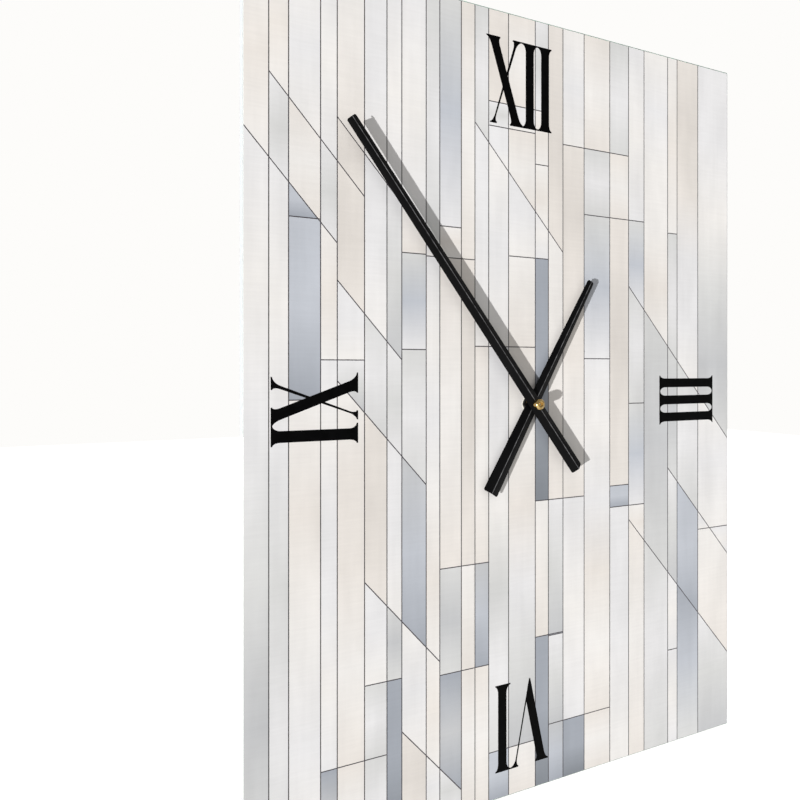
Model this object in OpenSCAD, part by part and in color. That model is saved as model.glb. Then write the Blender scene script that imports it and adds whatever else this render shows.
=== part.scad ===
// Frameless glass wall clock: a glass panel printed on its face, with a quartz movement bolted
// through its centre, two folded hands and glued-on wall hangers.
// The hub axis is the origin's Y axis, the wall is the plane y = 0 and the clock faces -Y.
// Inside the modules the clock lies on its back: x right, y up the dial, z away from the wall.

/* [Panel] */
// Width of the glass panel
panel_w = 381; // [320:1:600]
// Height of the glass panel
panel_h = 508; // [420:1:720]
// Thickness of the glass
glass_t = 5; // [4:0.5:8]
// Width of the ground arris on every glass edge
arris = 0.6; // [0.3:0.1:1.2]
// Thickness of the print and its lacquer on the face of the glass
print_t = 0.2; // [0.2:0.05:0.4]
// Width of the bare glass border around the print
print_inset = 0.9; // [0.6:0.1:4]

/* [Numerals] */
// Height of the numerals, measured from the hub outwards
num_h = 56; // [40:0.5:70]
// Distance from the panel edge to the outer end of a numeral
num_margin = 17.2; // [10:0.1:30]
// Height of the nine, printed a little shorter than the others
nine_h = 52; // [40:0.5:70]
// Distance from the panel edge to the outer end of the nine
nine_margin = 15.8; // [10:0.1:30]
// Width of a thick stroke
stroke_w = 6.5; // [4:0.1:8]
// Width of a hairline stroke
hair_w = 1; // [0.6:0.1:1.6]
// Distance between the centres of two neighbouring upright strokes
stem_pitch = 12.6; // [10:0.1:15]
// Sideways place of the twelve, from the hub axis
twelve_shift = -8; // [-12:0.5:12]
// Sideways place of the six, from the hub axis
six_shift = -6; // [-12:0.5:12]
// Thickness of the printed ink
ink_t = 0.1; // [0.05:0.05:0.15]

/* [Hands] */
// Length of the minute hand from the hub axis
minute_len = 211; // [120:1:230]
// Length of the minute hand behind the hub axis
minute_tail = 56; // [20:1:80]
// Width of the minute hand at its tail
minute_tail_w = 9.6; // [8.6:0.1:14]
// Width of the minute hand at its tip
minute_tip_w = 7; // [3:0.1:12]
// Length of the hour hand from the hub axis
hour_len = 96; // [70:1:150]
// Length of the hour hand behind the hub axis
hour_tail = 65; // [20:1:80]
// Width of the hour hand at its tail
hour_tail_w = 11.6; // [10:0.1:16]
// Width of the hour hand at its tip
hour_tip_w = 5.4; // [3:0.1:12]
// Height of the fold line over the edges, minute hand
minute_fold = 2.6; // [1:0.1:4]
// Height of the fold line over the edges, hour hand
hour_fold = 2.0; // [1:0.1:3]
// Thickness of the hand sheet
hand_t = 0.6; // [0.4:0.1:1]
// Angle of the minute hand, clockwise from twelve
minute_angle = -38; // [-180:1:180]
// Angle of the hour hand, clockwise from twelve
hour_angle = 30.5; // [-180:1:180]

/* [Hub] */
// Radius of the minute arbor
arbor_r = 1.4; // [1.2:0.05:1.6]
// Outer radius of the hour tube
tube_r = 2.5; // [2.2:0.05:2.9]
// Outer radius of the threaded bushing
bushing_r = 4; // [3.7:0.05:4.6]
// Pitch of the bushing's thread
thread_pitch = 0.75; // [0.5:0.05:1]
// Thickness of the washer under the fixing nut
washer_t = 0.3; // [0.2:0.1:0.6]
// Thickness of the fixing nut
nut_t = 1.8; // [1.5:0.1:3]
// Width across the flats of the fixing nut
nut_af = 11; // [10.6:0.1:13]
// Radius of the brass hand nut
hand_nut_r = 3.5; // [3:0.1:5]
// Height of the brass hand nut
hand_nut_h = 3.8; // [3:0.1:6]

/* [Gear train] */
// Distance from the hub axis to the third and intermediate arbors
arbor_dist = 9; // [7.5:0.1:9.4]
// Distance from the intermediate arbor to the rotor
rotor_dist = 5.6; // [5.2:0.1:5.8]
// Distance from the hub axis to the minute wheel, and from there to the setting pinion
motion_dist = 7.5; // [7.2:0.1:7.8]
// Thickness of the thin wheels
wheel_t = 0.8; // [0.6:0.1:0.9]
// Radius of the wheel pivots
pivot_r = 0.5; // [0.4:0.05:0.6]
// Running clearance of every pivot, on the radius
pivot_gap = 0.05; // [0.03:0.01:0.09]

/* [Movement case] */
// Diameter of the battery, size AA
battery_d = 14.2; // [13.5:0.1:14.5]
// Length of the battery without its button
battery_len = 49.2; // [48:0.1:50.5]
// Wall thickness of the case
case_wall = 1.3; // [1:0.1:2]
// Thickness of the front wall, which carries the bushing
front_wall = 1.5; // [1.2:0.1:2.5]
// Thickness of the back cover
cover_t = 1.4; // [1:0.1:2]
// Depth of the room for the wheels, between the front wall and the train plate
train_h = 10.8; // [10.8:0.1:12]
// Thickness of the train plate
plate_t = 1.4; // [1:0.1:1.8]
// Distance from the wall to the back of the case
wall_gap = 3; // [2.6:0.1:8]
// Thickness of the rubber gasket behind the panel
gasket_t = 1; // [0.5:0.1:3]

/* [Wall fixings] */
// Half the distance between the two wall hangers
hanger_x = 100; // [60:1:140]
// Distance from the top edge of the panel to the middle of the hangers
hanger_drop = 54; // [30:1:90]
// Width of the hanger bridge that lies on the wall
bridge_w = 28; // [24:1:40]
// Height of the hanger strip
hanger_h = 30; // [26:1:40]
// Thickness of the hanger steel
hanger_t = 1.5; // [1:0.1:2]
// Width of each glued hanger foot
foot_w = 14; // [10:1:20]
// Thickness of the adhesive pads
pad_t = 0.8; // [0.5:0.1:1.5]
// Radius of the keyhole's round entry
entry_r = 4.75; // [4.5:0.05:5]
// Radius of the keyhole's slot
slot_r = 2.25; // [2.1:0.05:2.4]
// Travel of the screw along the slot
slot_len = 10; // [8:0.5:12]
// Distance from the panel edges to the bumper centres
bumper_inset = 40; // [20:1:70]
// Radius of the bumpers at the glass
bumper_r = 10; // [7:0.5:14]

/* [Hidden] */
$fn = 96;

// Depths, counted from the wall
case_depth = cover_t + 1.6 + plate_t + train_h + front_wall;
z_cover = wall_gap + cover_t;
z_case = wall_gap + case_depth;
z_in = z_case - front_wall;
z_plate = z_in - train_h;
z_back = z_case + gasket_t;
z_front = z_back + glass_t;
z_face = z_front + print_t;
z_nut = z_face + washer_t;
z_nut_top = z_nut + nut_t;
hand_gap = 0.3;
hub_gap = 0.3;
z_hour = z_nut_top + hand_gap;
z_hour_top = z_hour + hand_t + hour_fold;
z_minute = z_hour_top + hand_gap;
z_minute_top = z_minute + hand_t + minute_fold;
z_end = z_minute_top + hand_nut_h;

// Gear train: tooth counts, places on the plate and heights under the front wall
pinion_n = 8;
centre_n = 64;
third_n = 60;
second_n = 40;
inter_n = 48;
cannon_n = 12;
minute_n = 36;
minute_pinion_n = 10;
hour_n = 40;
setting_n = 12;
third_dir = 150;
inter_dir = 40;
rotor_dir = 75;
motion_dir = -20;
setting_dir = -10;
third_at = arbor_dist * [cos(third_dir), sin(third_dir)];
inter_at = arbor_dist * [cos(inter_dir), sin(inter_dir)];
rotor_at = inter_at + rotor_dist * [cos(rotor_dir), sin(rotor_dir)];
motion_at = motion_dist * [cos(motion_dir), sin(motion_dir)];
setting_at = motion_at + motion_dist * [cos(setting_dir), sin(setting_dir)];
z_hour_wheel = z_in - 2.2;
z_motion = z_in - 3.5;
z_cannon_end = z_in - 2.4;
z_centre = z_in - 5.2;
z_third = z_in - 6.7;
z_stator = z_in - 7.8;
z_second = z_in - 9;
z_inter = z_in - 10.3;
magnet_r = 3;
magnet_t = 2.4;
hour_tip = 2 * motion_dist / (minute_pinion_n + hour_n) * (hour_n / 2 + 0.85);
boss_r = min(1.5, arbor_dist - hour_tip - 0.15);
boss_h = 3;

// Plan of the movement case
case_w = battery_len + 4.2 + 2 * case_wall;
bay_h = battery_d + 1.1;
divider_y = -centre_n * arbor_dist / (pinion_n + centre_n) - 2.4;
case_bottom = divider_y - 1 - bay_h - case_wall;
case_top = case_bottom + case_w;
case_round = 3;
battery_y = divider_y - 1 - bay_h / 2;
battery_z = z_in - battery_d / 2 - 0.2;
battery_x = -case_w / 2 + case_wall + 2.5;
button_r = 2.75;
button_len = 1.3;
contact_t = 0.3;
shoulder_r = 2.2;
post_r = 1.5;
post_places = [[18.5, 4], [-12, -6.5], [0.5, rotor_at[1] + 0.8]];
cover_x = case_w / 2 - 3.8;
cover_places = [
    [cover_x, case_top - 3.3], [-cover_x, case_top - 3.3],
    [cover_x, divider_y + 2.9], [-cover_x, divider_y + 2.9]
];
screw_r = 0.8;

// Stepping motor
stator_t = 0.8;
arm_w = 5;
arm_left = -14.5;
arm_right = 18.5;
coil_y = case_top - case_wall - 5;
coil_r = 3.4;
flange_r = 3.9;
core_w = 3;
bar_y = [rotor_at[1] - 2.8, rotor_at[1] + 4.4];
arm_pins = [[arm_left, bar_y[1] - 1.2], [arm_right, bar_y[1] - 1.2]];

// Circuit board
board_x = [-case_w / 2 + case_wall + 0.3, arm_left - arm_w / 2 - 1];
board_y = [divider_y + 6, 13];
board_z = z_in - 9.2;
board_t = 0.8;

// ---------------------------------------------------------------- shared shapes

// Stands the modelled clock up against the wall.
module hang() {
    rotate([90, 0, 0])
        children();
}

module box(x, y, z) {
    translate([x[0], y[0], z[0]])
        cube([x[1] - x[0], y[1] - y[0], z[1] - z[0]]);
}

module rod(at, r, z) {
    translate([at[0], at[1], z[0]])
        cylinder(r = r, h = z[1] - z[0]);
}

module round_rect(x, y, r) {
    translate([x[0] + r, y[0]])
        square([x[1] - x[0] - 2 * r, y[1] - y[0]]);
    translate([x[0], y[0] + r])
        square([x[1] - x[0], y[1] - y[0] - 2 * r]);
    for (cx = [x[0] + r, x[1] - r], cy = [y[0] + r, y[1] - r])
        translate([cx, cy])
            circle(r = r);
}

function span(mid, half) = [mid - half, mid + half];
function from(low, len) = [low, low + len];
function polar(r, a) = [r * cos(a), r * sin(a)];

// Four corners a tooth, with a share of the pitch left free as backlash.
function gear_outline(n, m, phase) =
    let (root = m * (n / 2 - 1.2), tip = m * (n / 2 + 0.85), step = 360 / n)
    [for (i = [0:n - 1], c = [[root, -0.3], [tip, -0.11], [tip, 0.11], [root, 0.3]])
        polar(c[0], phase + (i + c[1]) * step)];

// Phase of a gear of nb teeth that meshes with one of na teeth lying behind direction dir.
function mesh_phase(dir, na, phase_a, nb) =
    dir + 180 - (180 - (dir - phase_a) * na) / nb;

module gear(at, n, m, phase, z) {
    translate([at[0], at[1], z[0]])
        linear_extrude(z[1] - z[0])
            polygon(gear_outline(n, m, phase));
}

module web_holes(at, ring_r, hole_r, z) {
    for (i = [0:4])
        rod(at + polar(ring_r, i * 72), hole_r, [z[0] - 1, z[1] + 1]);
}

// Modules and phases of the meshing pairs
m_centre = 2 * arbor_dist / (pinion_n + centre_n);
m_third = 2 * arbor_dist / (pinion_n + third_n);
m_second = 2 * arbor_dist / (pinion_n + second_n);
m_rotor = 2 * rotor_dist / (pinion_n + inter_n);
m_motion = 2 * motion_dist / (cannon_n + minute_n);
m_hour = 2 * motion_dist / (minute_pinion_n + hour_n);
third_pinion_phase = mesh_phase(third_dir, centre_n, 0, pinion_n);
second_pinion_phase = mesh_phase(third_dir + 180, third_n, 0, pinion_n);
inter_pinion_phase = mesh_phase(inter_dir, second_n, 0, pinion_n);
rotor_phase = mesh_phase(rotor_dir, inter_n, 0, pinion_n);
minute_phase = mesh_phase(motion_dir, cannon_n, 0, minute_n);
hour_phase = mesh_phase(motion_dir + 180, minute_pinion_n, 0, hour_n);
setting_phase = mesh_phase(setting_dir, minute_n, minute_phase, setting_n);

// ---------------------------------------------------------------- panel

module glass_panel() {
    hang()
        color([0.62, 0.86, 0.78, 0.35])
            difference() {
                box([-panel_w / 2, panel_w / 2], [-panel_h / 2, panel_h / 2], [z_back, z_front]);
                for (z = [z_back, z_front], side = [-1, 1]) {
                    translate([side * panel_w / 2, 0, z])
                        rotate([0, 45, 0])
                            cube([arris * sqrt(2), panel_h + 2, arris * sqrt(2)], center = true);
                    translate([0, side * panel_h / 2, z])
                        rotate([45, 0, 0])
                            cube([panel_w + 2, arris * sqrt(2), arris * sqrt(2)], center = true);
                }
                rod([0, 0], bushing_r + hub_gap, [z_back - 1, z_front + 1]);
            }
}

module print_layer() {
    hang()
        color([0.86, 0.86, 0.85])
            difference() {
                box(
                    span(0, panel_w / 2 - print_inset), span(0, panel_h / 2 - print_inset),
                    [z_front, z_face]
                );
                translate([0, 0, z_face - ink_t])
                    linear_extrude(ink_t + 1)
                        numerals();
                rod([0, 0], bushing_r + hub_gap, [z_front - 1, z_face + 1]);
            }
}

module numeral_ink() {
    hang()
        color([0.02, 0.02, 0.02])
            translate([0, 0, z_face - ink_t])
                linear_extrude(ink_t)
                    numerals();
}

// ---------------------------------------------------------------- numerals

serif_t = 0.9;
serif_h = 5;
serif_out = 2.1;
serif_in = (stem_pitch - stroke_w) / 2 + 0.05;
x_lean = 0.165 * num_h;
x_half = x_lean + stroke_w / 2 + serif_out;
v_thick = 0.17 * num_h;
v_thin = 0.215 * num_h;
v_point = 0.3;

// One side of a stroke's end: how far a serif stands out, and at what height, end first.
bracket = concat(
    [[1, 0], [1, serif_t]],
    [for (a = [75:-15:0]) [1 - cos(a), serif_t + serif_h * (1 - sin(a))]]
);

function reversed(v) = [for (i = [len(v) - 1:-1:0]) v[i]];
function foot_side(x, lean, out) = [for (p = bracket) [x + lean * p[1] + out * p[0], p[1]]];
function head_side(x, lean, out) =
    [for (p = bracket) [x - lean * p[1] + out * p[0], num_h - p[1]]];

// A stroke from x = foot to x = head, with widths and the serifs' left and right reach.
module stroke(foot, head, foot_w, head_w, foot_out, head_out) {
    left = (head - head_w / 2 - foot + foot_w / 2) / num_h;
    right = (head + head_w / 2 - foot - foot_w / 2) / num_h;
    polygon(concat(
        foot_side(foot + foot_w / 2, right, foot_out[1]),
        reversed(head_side(head + head_w / 2, right, head_out[1])),
        head_side(head - head_w / 2, left, -head_out[0]),
        reversed(foot_side(foot - foot_w / 2, left, -foot_out[0]))
    ));
}

module letter_i(left, right) {
    stroke(0, 0, stroke_w, stroke_w, [left, right], [left, right]);
}

// The thick arm is cut to a point along the hairline arm.
module letter_v() {
    thick_w = stroke_w - v_point;
    crotch = thick_w / (v_thin + v_thick + stroke_w / 2 - v_point);
    left = (v_point - v_thick - stroke_w / 2) / num_h;
    polygon(concat(
        [[-v_point, 0], [hair_w / 2, 0], crotch * [v_thin, num_h]],
        reversed(head_side(stroke_w / 2 - v_thick, left, serif_out)),
        head_side(-stroke_w / 2 - v_thick, left, -serif_out)
    ));
    polygon(concat(
        [[-v_point, 0], [hair_w - v_point, 0]],
        reversed(head_side(v_thin + hair_w / 2, v_thin / num_h, serif_in)),
        head_side(v_thin - hair_w / 2, v_thin / num_h, -serif_out)
    ));
}

module letter_x() {
    stroke(x_lean, -x_lean, stroke_w, stroke_w, [serif_out, serif_in], [serif_out, serif_out]);
    stroke(-x_lean, x_lean, hair_w, 2 * hair_w, [serif_out, serif_out], [serif_out, serif_in]);
}

x_to_i = x_lean + 0.82 * stem_pitch;
i_to_x = x_half + stroke_w / 2 + 0.7 * serif_in;
v_to_i = v_thin + (hair_w + stroke_w) / 2 + 2 * serif_in - 0.1;

module numeral_twelve() {
    translate([(x_half - x_to_i - stem_pitch - stroke_w / 2 - serif_out) / 2, 0]) {
        letter_x();
        translate([x_to_i, 0])
            letter_i(serif_in, serif_in);
        translate([x_to_i + stem_pitch, 0])
            letter_i(serif_in, serif_out);
    }
}

module numeral_three() {
    for (i = [-1:1])
        translate([i * stem_pitch, 0])
            letter_i(i < 0 ? serif_out : serif_in, i > 0 ? serif_out : serif_in);
}

module numeral_six() {
    translate([(v_thick + stroke_w / 2 - v_to_i - stroke_w / 2) / 2, 0]) {
        letter_v();
        translate([v_to_i, 0])
            letter_i(serif_in, serif_out);
    }
}

module numeral_nine() {
    translate([(stroke_w / 2 + serif_out - i_to_x - x_half) / 2, 0]) {
        letter_i(serif_out, serif_in);
        translate([i_to_x, 0])
            letter_x();
    }
}

module numerals() {
    reach_v = panel_h / 2 - num_margin - num_h;
    reach_h = panel_w / 2 - num_margin - num_h;
    translate([twelve_shift, reach_v])
        numeral_twelve();
    rotate(-90)
        translate([0, reach_h])
            numeral_three();
    rotate(180)
        translate([-six_shift, reach_v])
            numeral_six();
    rotate(90)
        translate([0, panel_w / 2 - nine_margin - nine_h])
            scale([1, nine_h / num_h])
                numeral_nine();
}

// ---------------------------------------------------------------- hands

// A tapered strip folded along its middle. It lies along +y, its widest edges at z = 0.
module folded_hand(len, tail, tail_w, tip_w, fold, hole_r) {
    clip = 0.7;
    a = tail_w / 2;
    b = tip_w / 2;
    difference() {
        intersection() {
            translate([0, len, 0])
                rotate([90, 0, 0])
                    linear_extrude(len + tail)
                        polygon([
                            [-a, 0], [0, fold], [a, 0],
                            [a, hand_t], [0, fold + hand_t], [-a, hand_t]
                        ]);
            linear_extrude(fold + hand_t + 1)
                polygon([
                    [-a, clip - tail], [clip - a, -tail], [a - clip, -tail], [a, clip - tail],
                    [b, len - clip], [b - clip, len], [clip - b, len], [-b, len - clip]
                ]);
        }
        rod([0, 0], hole_r, [-1, fold + hand_t + 1]);
    }
}

bush_wall = 0.9;

module hour_hand() {
    hang()
        color([0.04, 0.04, 0.045])
            rotate(-hour_angle)
                translate([0, 0, z_hour])
                    folded_hand(hour_len, hour_tail, hour_tail_w, hour_tip_w, hour_fold,
                        tube_r + bush_wall);
}

module minute_hand() {
    hang()
        color([0.04, 0.04, 0.045])
            rotate(-minute_angle)
                translate([0, 0, z_minute])
                    folded_hand(minute_len, minute_tail, minute_tail_w, minute_tip_w, minute_fold,
                        arbor_r + bush_wall);
}

// Riveted collar: a barrel through the hand and a flange under the fold.
module hand_bush(bore_r, z, flange_z) {
    difference() {
        union() {
            rod([0, 0], bore_r + bush_wall, z);
            rod([0, 0], bore_r + 2 * bush_wall, flange_z);
        }
        rod([0, 0], bore_r, [z[0] - 1, z[1] + 1]);
    }
}

module hour_hand_bush() {
    hang()
        color([0.75, 0.6, 0.3])
            hand_bush(tube_r, [z_nut_top + 0.1, z_hour_top], [z_nut_top + 0.1, z_hour + 0.2]);
}

module minute_hand_bush() {
    hang()
        color([0.75, 0.6, 0.3])
            hand_bush(arbor_r, [z_hour_top + 0.1, z_minute_top], [z_hour_top + 0.1, z_minute + 0.5]);
}

module hand_nut() {
    round_r = 0.5;
    hang()
        color([0.83, 0.67, 0.35])
            rotate_extrude()
                polygon(concat(
                    [[arbor_r, z_minute_top], [hand_nut_r, z_minute_top]],
                    [for (a = [0:15:90]) [hand_nut_r - round_r, z_end - round_r] + polar(round_r, a)],
                    [[arbor_r, z_end]]
                ));
}

// ---------------------------------------------------------------- hub

module fixing_nut() {
    hang()
        color([0.08, 0.08, 0.085])
            difference() {
                translate([0, 0, z_nut])
                    cylinder(d = nut_af / cos(30), h = nut_t, $fn = 6);
                rod([0, 0], bushing_r, [z_nut - 1, z_nut_top + 1]);
            }
}

module fixing_washer() {
    hang()
        color([0.85, 0.85, 0.82])
            difference() {
                rod([0, 0], nut_af / 2 + 0.5, [z_face, z_nut]);
                rod([0, 0], bushing_r + 0.1, [z_face - 1, z_nut + 1]);
            }
}

// Turned brass tube with a collar behind the front wall. Its thread is cut as rings.
module threaded_bushing() {
    ring = thread_pitch / 2;
    rings = floor((z_nut_top - z_back) / thread_pitch) - 1;
    hang()
        color([0.8, 0.66, 0.36])
            difference() {
                union() {
                    rod([0, 0], bushing_r, [z_in, z_nut_top]);
                    rod([0, 0], bushing_r + 1.5, [z_in - 1, z_in]);
                }
                rod([0, 0], tube_r + pivot_gap, [z_in - 2, z_nut_top + 1]);
                for (i = [1:rings])
                    difference() {
                        rod([0, 0], bushing_r + 1, from(z_back + i * thread_pitch, ring));
                        rod([0, 0], bushing_r - 0.3, from(z_back + i * thread_pitch - 1, ring + 2));
                    }
            }
}

module gasket() {
    edge = 4;
    hang()
        color([0.08, 0.08, 0.08])
            difference() {
                translate([0, 0, z_case])
                    linear_extrude(gasket_t)
                        round_rect(
                            [edge - case_w / 2, case_w / 2 - edge],
                            [case_bottom + edge, case_top - edge],
                            case_round
                        );
                rod([0, 0], bushing_r + hub_gap, [z_case - 1, z_back + 1]);
            }
}

// ---------------------------------------------------------------- movement case

module case_plan(inset) {
    round_rect(
        [inset - case_w / 2, case_w / 2 - inset],
        [case_bottom + inset, case_top - inset],
        case_round - inset
    );
}

module case_front() {
    divider_x = span(0, case_w / 2 - case_wall + 0.5);
    hang()
        color([0.1, 0.1, 0.11])
            difference() {
                union() {
                    difference() {
                        translate([0, 0, wall_gap])
                            linear_extrude(case_depth)
                                case_plan(0);
                        translate([0, 0, wall_gap - 1])
                            linear_extrude(case_depth + 1 - front_wall)
                                case_plan(case_wall);
                    }
                    box(divider_x, [divider_y - 1, divider_y], [wall_gap, z_in + 0.1]);
                    for (p = [third_at, inter_at, rotor_at])
                        rod(p, boss_r, [z_in - boss_h, z_in + 0.1]);
                    rod(motion_at, boss_r, [z_in - 0.9, z_in + 0.1]);
                    rod(motion_at, pivot_r + 0.3, [z_motion - 0.2, z_in]);
                    for (p = [post_places[0], post_places[1]])
                        rod(p, post_r, [z_plate, z_in + 0.1]);
                    rod(post_places[2], shoulder_r, [z_stator + stator_t, z_in + 0.1]);
                    rod(post_places[2], post_r, [z_plate, z_in]);
                    for (p = arm_pins) {
                        rod(p, shoulder_r, [z_stator + stator_t, z_in + 0.1]);
                        rod(p, post_r, [z_stator - 0.8, z_in]);
                    }
                    for (p = cover_places)
                        rod(p, 2, [z_cover, z_in + 0.1]);
                    for (y = [board_y[0] + 2, board_y[1] - 2])
                        rod([board_x[0] + 3, y], 1.2, [board_z + board_t, z_in + 0.1]);
                }
                rod([0, 0], bushing_r, [z_in - 1, z_case + 1]);
                for (p = [third_at, inter_at, rotor_at])
                    rod(p, pivot_r + pivot_gap, [z_in - boss_h - 1, z_in - 0.8]);
                rod(setting_at, 1 + pivot_gap, [z_in - 1, z_in + 0.8]);
                for (p = post_places)
                    rod(p, screw_r, [z_plate - 1, z_plate + 4]);
                for (p = cover_places)
                    rod(p, screw_r, [z_cover - 1, z_cover + 6]);
                // The divider lets the two contact tongues through to the board.
                box(from(case_wall - case_w / 2 - 0.1, contact_t + 0.2), [divider_y - 2, divider_y + 1],
                    [board_z - 2.2, board_z + 0.1]);
                box(from(case_w / 2 - case_wall - 1, 1.1), [divider_y - 2, divider_y + 1],
                    [board_z - 3.2, board_z + 0.1]);
            }
}

// Covers the wheels and leaves the battery bay open.
module back_cover() {
    rim = 0.1;
    hang()
        color([0.13, 0.13, 0.14])
            difference() {
                translate([0, 0, wall_gap])
                    linear_extrude(cover_t)
                        intersection() {
                            case_plan(case_wall + rim);
                            translate([-case_w / 2, divider_y + rim])
                                square([case_w, case_w]);
                        }
                rod(setting_at, 2.2, [wall_gap - 1, z_cover + 1]);
                for (p = cover_places)
                    rod(p, screw_r, [wall_gap - 1, z_cover + 1]);
            }
}

// A pan-head screw seen from behind: head at z, shank towards the front.
module screw(at, head_r, head_t, len, z) {
    difference() {
        union() {
            rod(at, head_r, [z - head_t, z]);
            rod(at, screw_r, [z - 0.1, z + len]);
        }
        for (a = [0, 90])
            translate([at[0], at[1], z - head_t])
                rotate(a)
                    cube([head_r * 1.2, 0.5, 0.8], center = true);
    }
}

module cover_screws() {
    hang()
        color([0.7, 0.7, 0.72])
            for (p = cover_places)
                screw(p, 1.9, 1.1, 6, wall_gap);
}

module train_plate() {
    hang()
        color([0.88, 0.88, 0.84])
            difference() {
                translate([0, 0, z_plate - plate_t])
                    linear_extrude(plate_t)
                        round_rect([-16.5, 21], [divider_y + 0.8, rotor_at[1] + 3.4], 2);
                for (p = [[0, 0], third_at, inter_at, rotor_at])
                    rod(p, pivot_r + pivot_gap, [z_plate - plate_t - 1, z_plate + 1]);
                rod(setting_at, 1.5 + pivot_gap, [z_plate - plate_t - 1, z_plate + 1]);
                for (p = post_places)
                    rod(p, screw_r, [z_plate - plate_t - 1, z_plate + 1]);
                box([-16.6, -9], [divider_y, divider_y + 1.6], [z_plate - plate_t - 1, z_plate + 1]);
            }
}

module train_plate_screws() {
    hang()
        color([0.7, 0.7, 0.72])
            for (p = post_places)
                screw(p, 1.6, 0.9, 4.8, z_plate - plate_t);
}

// ---------------------------------------------------------------- wheels

// Minute arbor with the cannon pinion, threaded at its tip for the hand nut.
module minute_arbor() {
    hang()
        color([0.78, 0.64, 0.36])
            difference() {
                union() {
                    rod([0, 0], arbor_r, [z_centre - 0.3, z_end - 0.9]);
                    gear([0, 0], cannon_n, m_motion, 0, [z_motion - 0.2, z_cannon_end]);
                }
                rod([0, 0], pivot_r + pivot_gap, [z_centre - 1, z_end]);
            }
}

module centre_wheel() {
    hang()
        color([0.92, 0.92, 0.88])
            difference() {
                union() {
                    gear([0, 0], centre_n, m_centre, 0, [z_centre, z_centre + wheel_t]);
                    rod([0, 0], 2.4, [z_centre - 0.3, z_centre + wheel_t + 0.4]);
                }
                rod([0, 0], arbor_r, [z_centre - 1, z_centre + 3]);
                web_holes([0, 0], 0.6 * m_centre * centre_n / 2, 1.4, [z_centre, z_centre + wheel_t]);
            }
}

module hour_wheel() {
    hang()
        color([0.92, 0.92, 0.88])
            difference() {
                union() {
                    gear([0, 0], hour_n, m_hour, hour_phase, [z_hour_wheel, z_hour_wheel + 1]);
                    rod([0, 0], tube_r, [z_hour_wheel, z_hour_top]);
                }
                rod([0, 0], arbor_r + pivot_gap, [z_hour_wheel - 1, z_hour_top + 1]);
            }
}

// Minute wheel and its pinion, turning on a stud of the case.
module minute_wheel() {
    z_top = z_hour_wheel + 1.2;
    hang()
        color([0.95, 0.95, 0.9])
            difference() {
                union() {
                    gear(motion_at, minute_n, m_motion, minute_phase, [z_motion, z_motion + 0.9]);
                    gear(motion_at, minute_pinion_n, m_hour, 0, [z_motion + 0.8, z_top]);
                }
                rod(motion_at, pivot_r + 0.3 + pivot_gap, [z_motion - 1, z_top + 1]);
                web_holes(motion_at, 3.8, 0.9, [z_motion, z_motion + 0.8]);
            }
}

// Setting pinion, shaft and finger knob in one moulding.
module setting_knob() {
    knob_r = 5;
    knob = [wall_gap - 2.3, wall_gap - 0.3];
    hang()
        color([0.9, 0.9, 0.88])
            difference() {
                union() {
                    gear(setting_at, setting_n, m_motion, setting_phase, [z_motion, z_motion + 0.9]);
                    rod(setting_at, 1.5, [knob[0], z_motion]);
                    rod(setting_at, 1, [z_motion, z_in + 0.6]);
                    rod(setting_at, knob_r, knob);
                }
                for (i = [0:11])
                    rod(setting_at + polar(knob_r + 0.3, i * 30), 0.8, [knob[0] - 1, knob[1] + 1]);
            }
}

// An arbor that runs from the train plate to its boss under the front wall.
module pivot_arbor(at, r = pivot_r) {
    rod(at, r, [z_plate - plate_t + 0.2, z_in - 1]);
}

module third_wheel() {
    hang()
        color([0.92, 0.92, 0.88])
            difference() {
                union() {
                    gear(third_at, third_n, m_third, 0, [z_third, z_third + wheel_t]);
                    gear(third_at, pinion_n, m_centre, third_pinion_phase,
                        [z_third + wheel_t - 0.1, z_centre + wheel_t + 0.3]);
                    pivot_arbor(third_at);
                }
                web_holes(third_at, 0.6 * m_third * third_n / 2, 1.4, [z_third, z_third + wheel_t]);
            }
}

module second_wheel() {
    hang()
        color([0.92, 0.92, 0.88])
            difference() {
                union() {
                    gear([0, 0], second_n, m_second, 0, [z_second, z_second + wheel_t]);
                    gear([0, 0], pinion_n, m_third, second_pinion_phase,
                        [z_third - 0.2, z_third + wheel_t + 0.2]);
                    rod([0, 0], 0.9, [z_second, z_third]);
                    rod([0, 0], pivot_r, [z_plate - plate_t + 0.2, z_end - 1.3]);
                }
                web_holes([0, 0], 0.6 * m_second * second_n / 2, 1.2, [z_second, z_second + wheel_t]);
            }
}

module intermediate_wheel() {
    hang()
        color([0.92, 0.92, 0.88])
            difference() {
                union() {
                    gear(inter_at, inter_n, m_rotor, 0, [z_inter, z_inter + wheel_t]);
                    gear(inter_at, pinion_n, m_second, inter_pinion_phase,
                        [z_inter + wheel_t - 0.1, z_second + wheel_t + 0.1]);
                    pivot_arbor(inter_at);
                }
                web_holes(inter_at, 3.2, 0.7, [z_inter, z_inter + wheel_t]);
            }
}

z_magnet = z_stator - (magnet_t - stator_t) / 2;

module rotor_pinion() {
    hang()
        color([0.9, 0.86, 0.72])
            union() {
                gear(rotor_at, pinion_n, m_rotor, rotor_phase, [z_inter - 0.2, z_inter + wheel_t + 0.3]);
                rod(rotor_at, 1.1, [z_inter + wheel_t + 0.3, z_magnet + magnet_t]);
                pivot_arbor(rotor_at);
            }
}

module rotor_magnet() {
    hang()
        color([0.2, 0.2, 0.21])
            difference() {
                rod(rotor_at, magnet_r, [z_magnet, z_magnet + magnet_t]);
                rod(rotor_at, 1.1, [z_magnet - 1, z_magnet + magnet_t + 1]);
            }
}

// ---------------------------------------------------------------- stepping motor

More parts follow.
